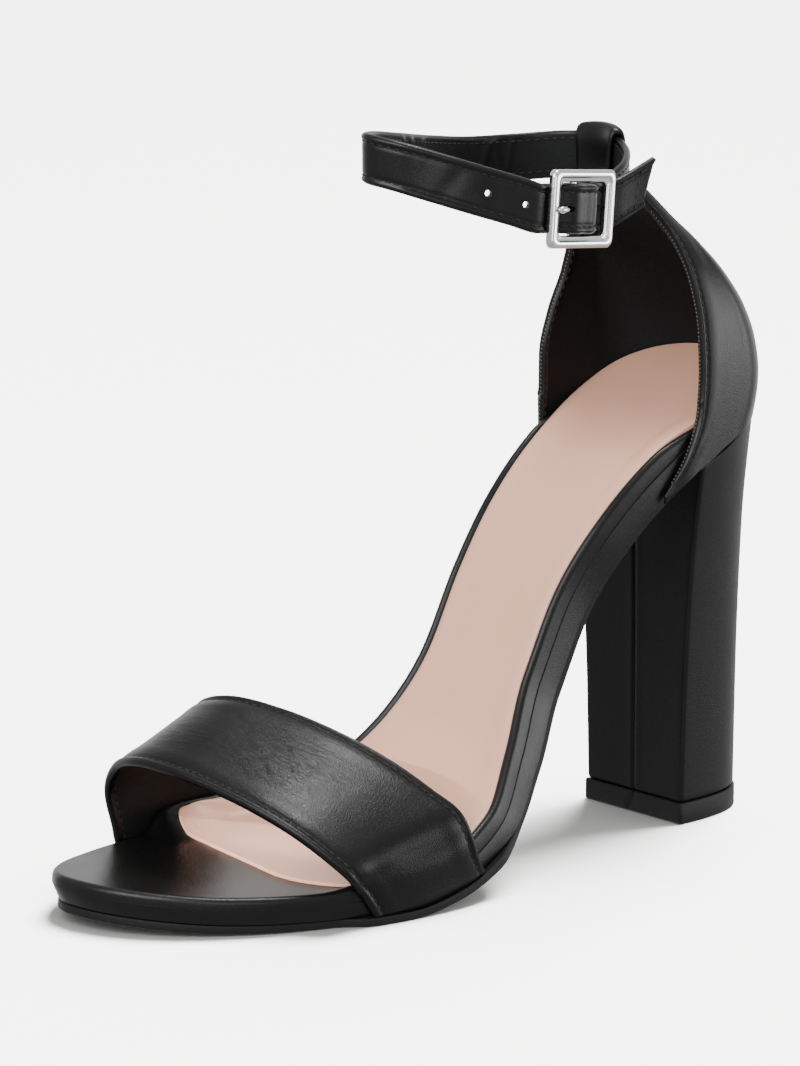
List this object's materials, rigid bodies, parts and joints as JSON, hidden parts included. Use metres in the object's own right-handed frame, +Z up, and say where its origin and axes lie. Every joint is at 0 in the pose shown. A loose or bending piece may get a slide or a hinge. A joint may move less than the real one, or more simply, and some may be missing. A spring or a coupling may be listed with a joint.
{
  "type": "ankle-strap block-heel sandal",
  "caption": "Open-toe high-heeled sandal with a broad toe strap, closed heel cup, buckled ankle strap, thin wrapped sole and tall block heel; left shoe.",
  "frame": {"origin": "middle of the shoe's box, on the floor it stands on", "axes": "+X from heel to toe, +Y to the outer side of the left foot, +Z up"},
  "size_m": [0.2018, 0.0828, 0.1836],
  "materials": {
    "black_leather": "smooth, semi-gloss",
    "beige_lining": "smooth, satin",
    "black_rubber": "matt",
    "polished_metal": "polished"
  },
  "bodies": {
    "root": {"outsole": "black_rubber", "platform": "black_leather", "insole_board": "black_leather", "sock": "beige_lining", "heel_block": "black_leather", "top_lift": "black_rubber", "toe_strap": "black_leather", "counter": "black_leather", "ankle_strap": "black_leather", "buckle_frame": "polished_metal", "buckle_prong": "polished_metal"}
  },
  "joints": []
}
